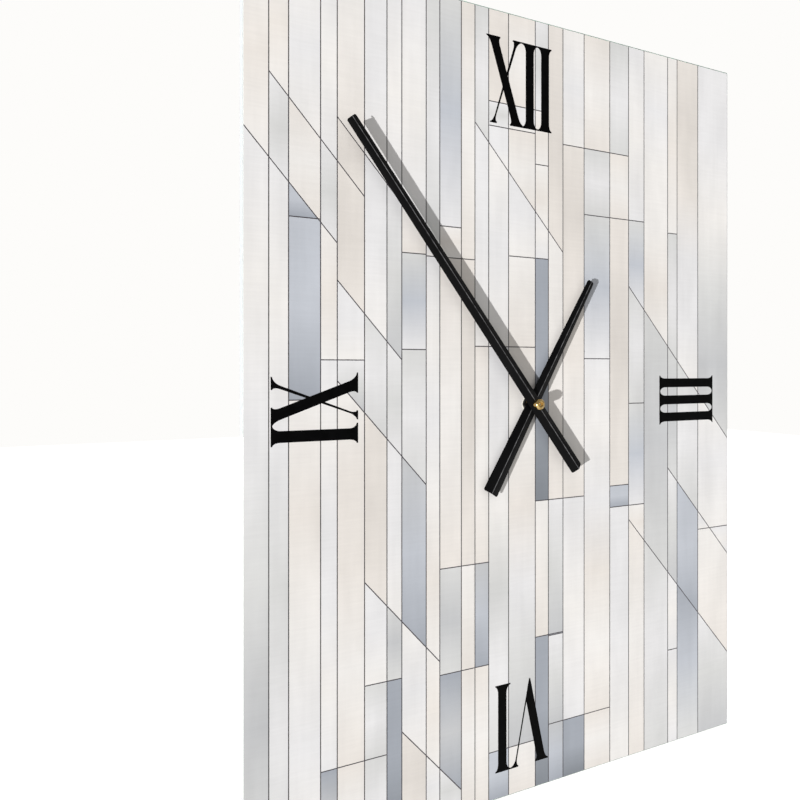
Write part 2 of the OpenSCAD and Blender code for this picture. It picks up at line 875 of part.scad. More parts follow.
// Soft-iron plate: a bar round the rotor and two arms up to the ends of the coil core.
module stator() {
    hang()
        color([0.66, 0.66, 0.68])
            difference() {
                union() {
                    box([arm_left, arm_right], bar_y, [z_stator, z_stator + stator_t]);
                    rod(rotor_at, magnet_r + 1.9, [z_stator, z_stator + stator_t]);
                    for (x = [arm_left, arm_right])
                        box(span(x, arm_w / 2), [bar_y[0], coil_y + core_w / 2 + 0.8],
                            [z_stator, z_stator + stator_t]);
                }
                rod(rotor_at, magnet_r + 0.4, [z_stator - 1, z_stator + stator_t + 1]);
                for (p = concat([post_places[2]], arm_pins))
                    rod(p, post_r, [z_stator - 1, z_stator + stator_t + 1]);
            }
}

coil_x = [arm_left + arm_w / 2 + 1, arm_right - arm_w / 2 - 1];
z_core = z_stator + stator_t;
z_coil = z_core + stator_t / 2;

module coil_core() {
    hang()
        color([0.6, 0.6, 0.62])
            box([arm_left - arm_w / 2, arm_right + arm_w / 2], span(coil_y, core_w / 2),
                [z_core, z_core + stator_t]);
}

module along_coil(r, x) {
    translate([x[0], coil_y, z_coil])
        rotate([0, 90, 0])
            cylinder(r = r, h = x[1] - x[0]);
}

module coil_bobbin() {
    flange_t = 0.8;
    hang()
        color([0.93, 0.93, 0.9])
            difference() {
                union() {
                    along_coil(2, coil_x);
                    along_coil(flange_r, from(coil_x[0], flange_t));
                    along_coil(flange_r, from(coil_x[1] - flange_t, flange_t));
                }
                box([coil_x[0] - 1, coil_x[1] + 1], span(coil_y, core_w / 2),
                    [z_core, z_core + stator_t]);
            }
}

module coil_winding() {
    hang()
        color([0.72, 0.38, 0.16])
            difference() {
                along_coil(coil_r, coil_x + [0.8, -0.8]);
                along_coil(2, coil_x);
            }
}

// ---------------------------------------------------------------- electronics

module circuit_board() {
    hang()
        color([0.1, 0.35, 0.18])
            box(board_x, board_y, [board_z, board_z + board_t]);
}

module control_chip() {
    hang()
        color([0.05, 0.05, 0.05])
            translate([(board_x[0] + board_x[1]) / 2, board_y[0] + 5, board_z])
                mirror([0, 0, 1])
                    rotate_extrude()
                        polygon([[0, 0], [2.6, 0], [2.3, 0.6], [1.4, 0.95], [0, 1.05]]);
}

module quartz_crystal() {
    can_r = 1;
    hang()
        color([0.78, 0.78, 0.8])
            translate([(board_x[0] + board_x[1]) / 2, board_y[1] - 8, board_z - can_r])
                rotate([-90, 0, 0])
                    cylinder(r = can_r, h = 6);
}

module battery() {
    bevel = 0.4;
    hang()
        color([0.75, 0.76, 0.78])
            translate([battery_x, battery_y, battery_z])
                rotate([0, 90, 0])
                    rotate_extrude()
                        polygon([
                            [0, 0], [battery_d / 2 - bevel, 0], [battery_d / 2, bevel],
                            [battery_d / 2, battery_len - bevel],
                            [battery_d / 2 - bevel, battery_len],
                            [button_r, battery_len], [button_r, battery_len + button_len],
                            [0, battery_len + button_len]
                        ]);
}

// Spring leaf at the flat end of the battery, with a tongue up to the board.
module contact_negative() {
    wall_x = -case_w / 2 + case_wall;
    plate_y = span(battery_y, 6);
    tongue_z = from(board_z - 2, 2);
    tongue_y = divider_y + 0.2;
    leg_x = board_x[0] + 4.6;
    hang()
        color([0.82, 0.82, 0.8])
            union() {
                box(from(wall_x, contact_t), [plate_y[0], tongue_y + contact_t], tongue_z);
                box(from(wall_x, contact_t), plate_y, span(battery_z, 4));
                translate([0, battery_y, battery_z - 3])
                    linear_extrude(6)
                        polygon([
                            [wall_x + contact_t, -5.5], [battery_x, -0.8], [battery_x, 0.8],
                            [wall_x + contact_t, 5.5], [wall_x + contact_t, 5],
                            [battery_x - contact_t, 0.6], [battery_x - contact_t, -0.6],
                            [wall_x + contact_t, -5]
                        ]);
                box([wall_x, leg_x + contact_t], from(tongue_y, contact_t), tongue_z);
                box(from(leg_x, contact_t), [tongue_y, board_y[0] + 2], tongue_z);
            }
}

// Flat strip at the button end, running back along the divider to the board.
module contact_positive() {
    wall_x = case_w / 2 - case_wall;
    strip_y = from(divider_y + 0.2, contact_t);
    strip_z = from(board_z - 3, 3);
    hang()
        color([0.82, 0.82, 0.8])
            union() {
                box([battery_x + battery_len + button_len, wall_x], span(battery_y, 6), span(battery_z, 4));
                box(from(wall_x - contact_t, contact_t), [battery_y, strip_y[1]], strip_z);
                box([board_x[1] - 1.5, wall_x], strip_y, strip_z);
                box(from(board_x[1] - 1.5, contact_t), [strip_y[0], board_y[0] + 2], strip_z);
            }
}

// ---------------------------------------------------------------- wall fixings

hanger_y = panel_h / 2 - hanger_drop;
foot_z = z_back - pad_t;

// Strip bent to a hat: the bridge lies on the wall and two feet are glued to the panel.
module hanger_plate() {
    half = bridge_w / 2;
    difference() {
        rotate([90, 0, 0])
            translate([0, 0, -hanger_h / 2])
                linear_extrude(hanger_h)
                    polygon([
                        [-half, 0], [half, 0],
                        [half, foot_z - hanger_t], [half + foot_w, foot_z - hanger_t],
                        [half + foot_w, foot_z], [half - hanger_t, foot_z],
                        [half - hanger_t, hanger_t], [-half + hanger_t, hanger_t],
                        [-half + hanger_t, foot_z], [-half - foot_w, foot_z],
                        [-half - foot_w, foot_z - hanger_t], [-half, foot_z - hanger_t]
                    ]);
        translate([0, -slot_len / 2, 0]) {
            rod([0, 0], entry_r, [-1, hanger_t + 1]);
            rod([0, slot_len], slot_r, [-1, hanger_t + 1]);
            box(span(0, slot_r), [0, slot_len], [-1, hanger_t + 1]);
        }
    }
}

module hanger_plates() {
    hang()
        color([0.72, 0.73, 0.75])
            for (side = [-1, 1])
                translate([side * hanger_x, hanger_y, 0])
                    hanger_plate();
}

module hanger_pads() {
    pad_x = bridge_w / 2 + foot_w / 2;
    hang()
        color([0.94, 0.94, 0.92])
            for (side = [-1, 1], foot = [-1, 1])
                translate([side * hanger_x + foot * pad_x, hanger_y, 0])
                    box(span(0, foot_w / 2), span(0, hanger_h / 2), [foot_z, z_back]);
}

module bumpers() {
    hang()
        color([0.15, 0.15, 0.16])
            for (side = [-1, 1])
                translate([side * (panel_w / 2 - bumper_inset), bumper_inset - panel_h / 2, 0])
                    rotate_extrude()
                        polygon([
                            [0, 0], [bumper_r - 3, 0], [bumper_r - 2, 1],
                            [bumper_r, z_back - 2], [bumper_r, z_back], [0, z_back]
                        ]);
}

// ---------------------------------------------------------------- nodes

glass_panel();
print_layer();
numeral_ink();
hour_hand();
hour_hand_bush();
minute_hand();
minute_hand_bush();
hand_nut();
fixing_nut();
fixing_washer();
gasket();
threaded_bushing();
case_front();
back_cover();
cover_screws();
train_plate();
train_plate_screws();
minute_arbor();
centre_wheel();
hour_wheel();
minute_wheel();
setting_knob();
third_wheel();
second_wheel();
intermediate_wheel();
rotor_pinion();
rotor_magnet();
stator();
coil_core();
coil_bobbin();
coil_winding();
circuit_board();
control_chip();
quartz_crystal();
contact_negative();
contact_positive();
battery();
hanger_plates();
hanger_pads();
bumpers();
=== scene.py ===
"""A frameless glass wall clock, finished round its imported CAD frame."""

import math
import random

import bmesh
import bpy
from mathutils import Matrix, Vector


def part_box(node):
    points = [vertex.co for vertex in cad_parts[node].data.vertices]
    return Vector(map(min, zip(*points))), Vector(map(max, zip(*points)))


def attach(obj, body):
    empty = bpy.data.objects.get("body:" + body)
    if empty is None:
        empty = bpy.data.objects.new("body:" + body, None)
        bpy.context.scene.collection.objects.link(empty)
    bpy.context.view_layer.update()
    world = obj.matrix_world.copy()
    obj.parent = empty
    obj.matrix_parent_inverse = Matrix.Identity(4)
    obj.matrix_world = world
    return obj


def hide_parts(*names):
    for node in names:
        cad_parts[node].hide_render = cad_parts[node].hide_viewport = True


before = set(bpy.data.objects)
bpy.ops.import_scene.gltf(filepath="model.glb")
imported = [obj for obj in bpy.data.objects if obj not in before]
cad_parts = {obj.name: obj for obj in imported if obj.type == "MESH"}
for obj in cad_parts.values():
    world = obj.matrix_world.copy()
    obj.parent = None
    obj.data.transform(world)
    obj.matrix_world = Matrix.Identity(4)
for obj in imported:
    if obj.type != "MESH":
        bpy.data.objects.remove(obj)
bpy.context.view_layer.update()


# ------------------------------------------------------------------ glass panel
# Float glass 5 mm thick, cut to 381 by 508 mm, its edges seamed to an arris and its hub
# hole drilled. The movement is clamped to it and nothing frames it.
ARRIS = 0.0006
HUB_HOLE = 0.0043
DRILL_PAST = 0.001
panel_low, panel_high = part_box("glass_panel")


def linear(code):
    """The linear colour of an sRGB hex value."""
    parts = [int(code[i : i + 2], 16) / 255 for i in (1, 3, 5)]
    curve = [p / 12.92 if p <= 0.04045 else ((p + 0.055) / 1.055) ** 2.4 for p in parts]
    return (*curve, 1.0)


def feed(node, inputs):
    """Sets a node's inputs, or links them where another node's output is given."""
    for key, value in inputs.items():
        if isinstance(value, bpy.types.NodeSocket):
            node.id_data.links.new(value, node.inputs[key])
        else:
            node.inputs[key].default_value = value


def add(tree, kind, inputs, **settings):
    """A shader node with its settings and what feeds it."""
    node = tree.nodes.new("ShaderNode" + kind)
    for name, value in settings.items():
        setattr(node, name, value)
    feed(node, inputs)
    return node


def new_material(name, **inputs):
    """A material, its node tree, its surface shader and the piece's own coordinates."""
    made = bpy.data.materials.new(name)
    made.use_nodes = True
    tree = made.node_tree
    shader = tree.nodes["Principled BSDF"]
    feed(shader, {key.replace("_", " "): value for key, value in inputs.items()})
    return made, tree, shader, add(tree, "TexCoord", {}).outputs["Object"]


def shades(tree, factor, *stops):
    """A colour ramp through (place, hex colour) stops."""
    ramp = add(tree, "ValToRGB", {"Fac": factor})
    marks = ramp.color_ramp.elements
    while len(marks) < len(stops):
        marks.new(0.5)
    for mark, (place, code) in zip(marks, stops):
        mark.position = place
        mark.color = linear(code)
    return ramp.outputs["Color"]


def as_object(name, form, *materials):
    """An object at the origin made of a finished bmesh."""
    mesh = bpy.data.meshes.new(name)
    form.to_mesh(mesh)
    form.free()
    for m in materials:
        mesh.materials.append(m)
    made = bpy.data.objects.new(name, mesh)
    bpy.context.scene.collection.objects.link(made)
    return made


def fix(piece, body, slot, *nodes):
    """Puts a piece on its body, in place of the frame's plain nodes."""
    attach(piece, body)
    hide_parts(*nodes)
    return piece


def smooth(piece, degrees=32):
    """Smooth shading that breaks at edges sharper than this."""
    piece.data.shade_smooth()
    piece.data.set_sharp_from_angle(angle=math.radians(degrees))


def drill(piece, radius, y):
    """Cuts a round hole on the hub axis through a piece, between two depths."""
    form = bmesh.new()
    bmesh.ops.create_cone(
        form, cap_ends=True, segments=64, radius1=radius, radius2=radius, depth=y[1] - y[0],
        matrix=Matrix.Translation((0, sum(y) / 2, 0)) @ Matrix.Rotation(math.pi / 2, 4, "X"),
    )
    bit = as_object("drill_bit", form)
    cut = piece.modifiers.new("hole", "BOOLEAN")
    cut.object = bit
    cut.solver = "EXACT"
    bpy.context.view_layer.update()
    graph = bpy.context.evaluated_depsgraph_get()
    drilled = bpy.data.meshes.new_from_object(piece.evaluated_get(graph))
    piece.modifiers.clear()
    piece.data = drilled
    bpy.data.objects.remove(bit)


form = bmesh.new()
bmesh.ops.create_cube(
    form, size=1,
    matrix=Matrix.Translation((panel_low + panel_high) / 2)
    @ Matrix.Diagonal((*(panel_high - panel_low), 1)),
)
bmesh.ops.bevel(
    form, geom=form.edges[:], offset=ARRIS, offset_type="OFFSET", segments=3, profile=0.5,
    affect="EDGES", material=-1,
)

# Clear float glass, fire-polished by the float bath: no haze, a faint green tint.
clear_glass, tree, shader, place = new_material(
    "float_glass", Base_Color=linear("#F7FCFA"), IOR=1.52, Transmission_Weight=1.0
)
smear = add(tree, "TexNoise", {"Vector": place, "Scale": 1 / 0.06, "Detail": 4.0})
gloss = add(
    tree, "MapRange",
    {"Value": smear.outputs[0], "From Min": 0.4, "From Max": 0.7, "To Min": 0.0, "To Max": 0.04},
)
feed(shader, {"Roughness": gloss.outputs[0]})

# Seamed glass edge: belt-ground, so it scatters pale light. Its downward faces are coloured vivid
# green, fading to pale grey on the side and upward faces by the way each face points: painted
# light, the green glow seen through the depth of the sheet. The belt leaves fine lines along the
# edge.
seamed_edge, tree, shader, place = new_material("seamed_glass_edge", IOR=1.52, Coat_Weight=0.35)
facing = add(tree, "SeparateXYZ", {"Vector": add(tree, "NewGeometry", {}).outputs["Normal"]})
painted_glow_by_facing = add(
    tree, "MapRange", {"Value": facing.outputs["Z"], "From Min": -1.0, "From Max": 1.0}
)
green = shades(
    tree, painted_glow_by_facing.outputs[0], (0.0, "#2F9C7A"), (0.12, "#5FB295"), (0.35, "#C3CCCA"),
    (0.5, "#CDD2D6"), (1.0, "#C8D3CB"),
)
belt = add(tree, "TexNoise", {"Vector": place, "Scale": 1 / 0.0008, "Detail": 3.0})
shallow = add(tree, "Math", {0: belt.outputs[0], 1: 0.5}, operation="MULTIPLY")
deep = add(tree, "Gamma", {"Color": green, "Gamma": 1.5})
lined = add(
    tree, "Mix", {0: shallow.outputs[0], 6: green, 7: deep.outputs[0]}, data_type="RGBA"
)
feed(shader, {"Base Color": lined.outputs[2], "Roughness": 0.32})
ground = add(tree, "Bump", {"Height": belt.outputs[0], "Strength": 0.25, "Distance": 0.00005})
feed(shader, {"Normal": ground.outputs[0]})

glass = as_object("glass_sheet", form, clear_glass, seamed_edge)
drill(glass, HUB_HOLE, (panel_low.y - DRILL_PAST, panel_high.y + DRILL_PAST))
for face in glass.data.polygons:
    face.material_index = 0 if abs(face.normal.y) > 0.95 else 1
smooth(glass, 10)
glass.visible_shadow = False
fix(glass, "clock", "clear_glass", "glass_panel")


# ------------------------------------------------------------------ print
# A generic pattern of upright boards, printed on the face of the glass in satin ink. They
# are laid at random from one fixed seed, parted by butt and mitred joints in thin dark lines.
SEED = 7
# Narrowest and widest board, how many joints are cut, and how steep the mitred ones are.
BOARDS = (0.009, 0.024)
BUTT_JOINTS = 30
MITRED_JOINTS = 11
MITRE_SLOPE = 1.1
LONG_PIECE = 0.2
# Runs of tones from the top of a piece to its foot: light, middling and deep boards.
LIGHT_RUNS = ["wcw", "cwc", "wlw", "lwl", "wc", "cpc", "llw"]
MIDDLE_RUNS = ["gsg", "glg", "lgl", "gbl", "lgs"]
DEEP_RUNS = ["sbd", "bbd", "dbg", "dsd", "ddk"]
TONES = {
    "w": "#F3F0ED", "c": "#ECE6E0", "p": "#E0DAD4", "l": "#EBEAEB", "g": "#DBDBDA",
    "s": "#C8C9CB", "b": "#C6CAD2", "d": "#A6ABB4", "k": "#848990", "v": "#71707A",
}
JOINT_COLOUR = "#4A474B"
JOINT_HALF = 0.00032
# The sheet is laid out a little too big and trimmed, so no joint is left along its rim.
OVERRUN = 0.00036
PRINT_SINK = 0.00005
PRINT_SHEET = 0.0001
print_low, print_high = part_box("print_layer")
print_y = print_low.y + PRINT_SINK

draw = random.Random(SEED)
edges = [print_low.x]
while print_high.x - edges[-1] > BOARDS[0] + BOARDS[1]:
    edges.append(edges[-1] + draw.uniform(*BOARDS))
edges.append(print_high.x)
last_board = len(edges) - 2

form = bmesh.new()
left, right = print_low.x - OVERRUN, print_high.x + OVERRUN
bottom, top = print_low.z - OVERRUN, print_high.z + OVERRUN
form.faces.new(
    form.verts.new((x, print_y, z))
    for x, z in ((left, bottom), (right, bottom), (right, top), (left, top))
)


def saw(pieces, point, across):
    """Cuts pieces along a line through a point, square to the way across it."""
    wood = {g for f in pieces for g in (f, *f.edges, *f.verts)}
    bmesh.ops.bisect_plane(form, geom=list(wood), plane_co=point, plane_no=across)


for x in edges[1:-1]:
    saw(form.faces, (x, 0, 0), (1, 0, 0))
for joint in range(BUTT_JOINTS + MITRED_JOINTS):
    mitred = joint >= BUTT_JOINTS
    first = draw.randint(0, last_board)
    last = min(first + draw.choice((2, 3, 4) if mitred else (0, 0, 1, 2)), last_board)
    start = draw.uniform(print_low.z + 0.02, print_high.z - 0.02)
    span = (edges[first] - 0.001, edges[last + 1] + 0.001)
    pieces = [f for f in form.faces if span[0] < f.calc_center_bounds().x < span[1]]
    saw(pieces, (edges[first], 0, start), (MITRE_SLOPE if mitred else 0, 0, 1))

tone = form.loops.layers.float_color.new("tone")
piece = form.faces.layers.int.new("piece")
form.faces.index_update()
painted = {}
laid = {f: f.calc_center_bounds() for f in form.faces}
for face in sorted(laid, key=lambda f: (round(laid[f].x, 4), round(laid[f].z, 4))):
    low_down = (print_high.z - laid[face].z) / (print_high.z - print_low.z)
    chance = draw.random()
    if chance < 0.06 + 0.3 * low_down ** 2:
        runs = DEEP_RUNS
    else:
        runs = MIDDLE_RUNS if chance < 0.34 + 0.2 * low_down else LIGHT_RUNS
    ends = [v.co.z for v in face.verts]
    painted[face.index] = draw.choice(runs)
    if max(ends) - min(ends) > LONG_PIECE:
        painted[face.index] = draw.choice(LIGHT_RUNS) + painted[face.index]
for face in form.faces:
    face[piece] = face.index + 1
inner = form.faces[:]
reach = {
    f[piece]: (min(v.co.z for v in f.verts), max(v.co.z for v in f.verts)) for f in inner
}
rims = bmesh.ops.inset_individual(
    form, faces=inner, thickness=JOINT_HALF, use_even_offset=True
)["faces"]
for face in rims:
    face[piece] = 0
for index, tones in painted.items():
    foot, head = reach[index + 1]
    for step in range(1, len(tones) - 1):
        z = head + (foot - head) * step / (len(tones) - 1)
        saw([f for f in form.faces if f[piece] == index + 1], (0, 0, z), (0, 0, 1))
for face in form.faces:
    tones = painted.get(face[piece] - 1)
    for loop in face.loops:
        if tones is None:
            loop[tone] = linear(JOINT_COLOUR)
            continue
        foot, head = reach[face[piece]]
        at = min(max((head - loop.vert.co.z) / (head - foot), 0), 1) * (len(tones) - 1)
        stop = min(int(at), len(tones) - 2)
        above, below = (Vector(linear(TONES[t])) for t in tones[stop : stop + 2])
        loop[tone] = above.lerp(below, at - stop)
for limit, way in (
    (print_low, (-1, 0, 0)), (print_low, (0, 0, -1)),
    (print_high, (1, 0, 0)), (print_high, (0, 0, 1)),
):
    bmesh.ops.bisect_plane(
        form, geom=form.verts[:] + form.edges[:] + form.faces[:], plane_co=limit,
        plane_no=way, clear_outer=True,
    )
bmesh.ops.remove_doubles(form, verts=form.verts, dist=1e-5)
form.normal_update()
bmesh.ops.reverse_faces(form, faces=[f for f in form.faces if f.normal.y > 0])

# Satin UV-cured ink: soft clouds in every board's paint, faint cross strokes and a dry,
# even sheen. The strokes are drawn about 1 mm apart, coarser than the printer's dots.
satin_print, tree, shader, place = new_material(
    "satin_uv_print", Roughness=0.55, Specular_IOR_Level=0.2
)
board_tone = add(tree, "Attribute", {}, attribute_name="tone").outputs["Color"]
tall = add(tree, "Mapping", {"Vector": place, "Scale": (2.2, 1.0, 0.8)}).outputs[0]
clouds = add(tree, "TexNoise", {"Vector": tall, "Scale": 1 / 0.045, "Detail": 5.0})
flat = add(tree, "Mapping", {"Vector": place, "Scale": (0.06, 1.0, 1.0)}).outputs[0]
strokes = add(tree, "TexNoise", {"Vector": flat, "Scale": 1 / 0.0012, "Detail": 2.0})
upright = add(tree, "Mapping", {"Vector": place, "Scale": (1.0, 1.0, 0.03)}).outputs[0]
grain = add(tree, "TexNoise", {"Vector": upright, "Scale": 1 / 0.003, "Detail": 3.0})
worked = board_tone
for pattern, least, most in ((clouds, 0.93, 1.04), (strokes, 0.985, 1.015), (grain, 0.985, 1.01)):
    share = add(
        tree, "MapRange",
        {"Value": pattern.outputs[0], "From Min": 0.3, "From Max": 0.7,
         "To Min": least, "To Max": most},
    )
    worked = add(
        tree, "VectorMath", {0: worked, "Scale": share.outputs[0]}, operation="SCALE"
    ).outputs[0]
feed(shader, {"Base Color": worked})
tooth = add(tree, "Bump", {"Height": strokes.outputs[0], "Strength": 0.06, "Distance": 0.00005})
feed(shader, {"Normal": tooth.outputs[0]})

# White base coat: the first, opaque pass of the printer, all that shows from behind.
base_coat, tree, shader, place = new_material("white_base_coat", Roughness=0.6)
mottle = add(tree, "TexNoise", {"Vector": place, "Scale": 1 / 0.03, "Detail": 4.0})
feed(shader, {"Base Color": shades(tree, mottle.outputs[0], (0.3, "#E4E5E2"), (0.7, "#F2F3F0"))})

boards = as_object("board_print", form, satin_print, base_coat)
sheet = boards.modifiers.new("ink_film", "SOLIDIFY")
sheet.thickness = PRINT_SHEET
sheet.offset = -1
bpy.context.view_layer.update()
graph = bpy.context.evaluated_depsgraph_get()
solid = bpy.data.meshes.new_from_object(boards.evaluated_get(graph))
boards.modifiers.clear()
boards.data = solid
drill(boards, HUB_HOLE, (print_low.y - DRILL_PAST, print_high.y + DRILL_PAST))
for face in boards.data.polygons:
    face.material_index = 1 if face.normal.y > 0.5 else 0
fix(boards, "clock", "print", "print_layer")


# ------------------------------------------------------------------ numerals
# Roman numerals in dense black ink over the boards, feet towards the hub. They are one
# layer with the print and stand a hair above the boards.
black_ink, tree, shader, place = new_material(
    "dense_black_ink", Roughness=0.55, Specular_IOR_Level=0.03
)
cover = add(tree, "TexNoise", {"Vector": place, "Scale": 1 / 0.004, "Detail": 4.0})
feed(shader, {"Base Color": shades(tree, cover.outputs[0], (0.3, "#020202"), (0.75, "#070708"))})
feed(
    shader,
    {"Normal": add(
        tree, "Bump", {"Height": cover.outputs[0], "Strength": 0.05, "Distance": 0.00005}
    ).outputs[0]},
)


def finish(material, *nodes):
    """Gives the frame's own nodes a material."""
    for node in nodes:
        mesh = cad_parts[node].data
        mesh.materials.clear()
        mesh.materials.append(material)


finish(black_ink, "numeral_ink")


# ------------------------------------------------------------------ movement case
# The quartz movement's case, injection moulded in black ABS: front wall with the bushing,
# battery bay below, room for the wheels above. Its outside is spark-eroded to a fine matt.
CASE_ROUND = 0.00025
SPARK_GRAIN = 0.0004


def softened(name, node, radius, *materials):
    """A copy of a frame node, merged to whole faces, with its sharp edges rounded."""
    form = bmesh.new()
    form.from_mesh(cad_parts[node].data)
    bmesh.ops.remove_doubles(form, verts=form.verts, dist=1e-6)
    bmesh.ops.dissolve_limit(
        form, angle_limit=math.radians(0.5), verts=form.verts, edges=form.edges
    )
    made = as_object(name, form, *materials)
    rounding = made.modifiers.new("rounding", "BEVEL")
    rounding.width = radius
    rounding.segments = 2
    rounding.harden_normals = True
    rounding.limit_method = "ANGLE"
    rounding.angle_limit = math.radians(40)
    smooth(made, 40)
    return made


# Black ABS: a deep neutral black with an even spark-eroded grain of about 0.4 mm.
black_abs, tree, shader, place = new_material("spark_textured_abs", Specular_IOR_Level=0.4)
spark = add(tree, "TexVoronoi", {"Vector": place, "Scale": 1 / SPARK_GRAIN})
haze = add(tree, "TexNoise", {"Vector": place, "Scale": 1 / 0.012, "Detail": 3.0})
feed(
    shader,
    {
        "Base Color": shades(tree, haze.outputs[0], (0.3, "#1B1B1D"), (0.7, "#232326")),
        "Roughness": add(
            tree, "MapRange", {"Value": haze.outputs[0], "To Min": 0.48, "To Max": 0.62}
        ).outputs[0],
        "Normal": add(
            tree, "Bump",
            {"Height": spark.outputs["Distance"], "Strength": 0.35, "Distance": 0.00008},
        ).outputs[0],
    },
)
case = softened("movement_case", "case_front", CASE_ROUND, black_abs)
fix(case, "clock", "case_black", "case_front")


# ------------------------------------------------------------------ bushing
# Threaded M8 bushing, turned from brass bar and moulded into the front wall. The hour tube
# turns inside it and the panel is clamped on it.

# Turned brass: warm yellow, with the tool's fine rings round the hub axis, 0.15 mm apart.
turned_brass, tree, shader, place = new_material(
    "turned_brass", Base_Color=linear("#C9A45C"), Metallic=1.0, Roughness=0.3
)
rings = add(
    tree, "TexWave", {"Vector": place, "Scale": 1 / (0.00015 * 20), "Distortion": 0.4},
    wave_type="RINGS", rings_direction="Y",
)
tarnish = add(tree, "TexNoise", {"Vector": place, "Scale": 1 / 0.002, "Detail": 3.0})
feed(
    shader,
    {
        "Base Color": shades(tree, tarnish.outputs[0], (0.3, "#B98F49"), (0.7, "#D3B06A")),
        "Normal": add(
            tree, "Bump", {"Height": rings.outputs[0], "Strength": 0.2, "Distance": 0.00002}
        ).outputs[0],
    },
)
finish(turned_brass, "threaded_bushing", "hour_hand_bush", "minute_hand_bush", "minute_arbor")


# ------------------------------------------------------------------ stepping motor
# A stamped soft-iron stator and core carry the flux of a coil of hair-thin copper wire on
# an acetal bobbin. The ferrite magnet on the rotor turns half a turn every second.
WIRE_PITCH = 0.0002

# Stamped soft iron: bright, with rolling lines along the strip every 0.3 mm.
soft_iron, tree, shader, place = new_material("stamped_soft_iron", Metallic=1.0, Roughness=0.36)
along = add(tree, "Mapping", {"Vector": place, "Scale": (0.05, 1.0, 1.0)}).outputs[0]
rolled = add(tree, "TexNoise", {"Vector": along, "Scale": 1 / 0.0003, "Detail": 2.0})
feed(
    shader,
    {
        "Base Color": shades(tree, rolled.outputs[0], (0.3, "#8F9093"), (0.7, "#B4B5B8")),
        "Normal": add(
            tree, "Bump", {"Height": rolled.outputs[0], "Strength": 0.15, "Distance": 0.00002}
        ).outputs[0],
    },
)
finish(soft_iron, "stator", "coil_core")

# Enamelled copper wire: glossy amber enamel, turns side by side. The real wire is 0.03 mm
# thick; the turns are drawn 0.2 mm apart so that they show.
copper_wire, tree, shader, place = new_material(
    "enamelled_copper_wire", Metallic=0.85, Roughness=0.28, Coat_Weight=0.5
)
turns = add(
    tree, "TexWave", {"Vector": place, "Scale": 1 / (WIRE_PITCH * 20), "Distortion": 0.2},
    wave_type="BANDS", bands_direction="X",
)
# Dark brown in the grooves between turns and bright amber on their crowns, following the bump:
# painted shade between the turns.
feed(
    shader,
    {
        "Base Color": shades(tree, turns.outputs[0], (0.0, "#7A3413"), (1.0, "#C9722F")),
        "Normal": add(
            tree, "Bump", {"Height": turns.outputs[0], "Strength": 0.6, "Distance": 0.00005}
        ).outputs[0],
    },
)
finish(copper_wire, "coil_winding")

# Acetal: waxy white, slightly see-through at thin teeth, with faint flow marks.
acetal, tree, shader, place = new_material(
    "moulded_acetal", Roughness=0.38, Subsurface_Weight=0.1, Subsurface_Scale=0.0005
)
flow = add(tree, "TexNoise", {"Vector": place, "Scale": 1 / 0.003, "Detail": 3.0})
feed(
    shader,
    {
        "Base Color": shades(tree, flow.outputs[0], (0.3, "#E4E2D8"), (0.7, "#F1F0E8")),
        "Normal": add(
            tree, "Bump", {"Height": flow.outputs[0], "Strength": 0.05, "Distance": 0.00005}
        ).outputs[0],
    },
)
finish(acetal, "coil_bobbin")

# Sintered ferrite: dull charcoal with a fine grain.
ferrite, tree, shader, place = new_material("sintered_ferrite", Roughness=0.6)
sinter = add(tree, "TexNoise", {"Vector": place, "Scale": 1 / 0.0002, "Detail": 4.0})
feed(
    shader,
    {
        "Base Color": shades(tree, sinter.outputs[0], (0.3, "#2A2A2C"), (0.7, "#3D3D40")),
        "Normal": add(
            tree, "Bump", {"Height": sinter.outputs[0], "Strength": 0.3, "Distance": 0.00003}
        ).outputs[0],
    },
)
finish(ferrite, "rotor_magnet")


# ------------------------------------------------------------------ wheels
# Moulded acetal wheels with their pinions and pivots: the going train from rotor to minute
# arbor, and the motion work that brings the hour tube down to a twelfth.
finish(
    acetal, "rotor_pinion", "intermediate_wheel", "second_wheel", "third_wheel",
    "centre_wheel", "minute_wheel", "hour_wheel",
)


# ------------------------------------------------------------------ electronics
# A small glass-epoxy board with a quartz crystal in its can and the control chip under a
# drop of black epoxy.
TRACK_PITCH = 0.0014

# Glass-epoxy board: green solder mask, its copper tracks showing through as lighter lines.
solder_mask, tree, shader, place = new_material("green_solder_mask", Roughness=0.3, Coat_Weight=0.3)
front_on = add(tree, "SeparateXYZ", {"Vector": place})
sheet_place = add(tree, "CombineXYZ", {"X": front_on.outputs["X"], "Y": front_on.outputs["Z"]})
tracks = add(
    tree, "TexBrick",
    {"Vector": sheet_place.outputs[0], "Scale": 1.0, "Mortar Size": 0.00012,
     "Brick Width": TRACK_PITCH * 3, "Row Height": TRACK_PITCH,
     "Color1": linear("#16482A"), "Color2": linear("#1B5633"), "Mortar": linear("#4E8A55")},
)
feed(
    shader,
    {
        "Base Color": tracks.outputs["Color"],
        "Normal": add(
            tree, "Bump", {"Height": tracks.outputs["Fac"], "Strength": 0.4, "Distance": 0.00003}
        ).outputs[0],
    },
)
finish(solder_mask, "circuit_board")

# Epoxy glob-top: near black, glossy, slightly uneven where it flowed.
epoxy, tree, shader, place = new_material("epoxy_glob", Base_Color=linear("#0E0E10"), Roughness=0.2)
flow = add(tree, "TexNoise", {"Vector": place, "Scale": 1 / 0.0015, "Detail": 2.0})
feed(
    shader,
    {"Normal": add(
        tree, "Bump", {"Height": flow.outputs[0], "Strength": 0.2, "Distance": 0.0001}
    ).outputs[0]},
)
finish(epoxy, "control_chip")

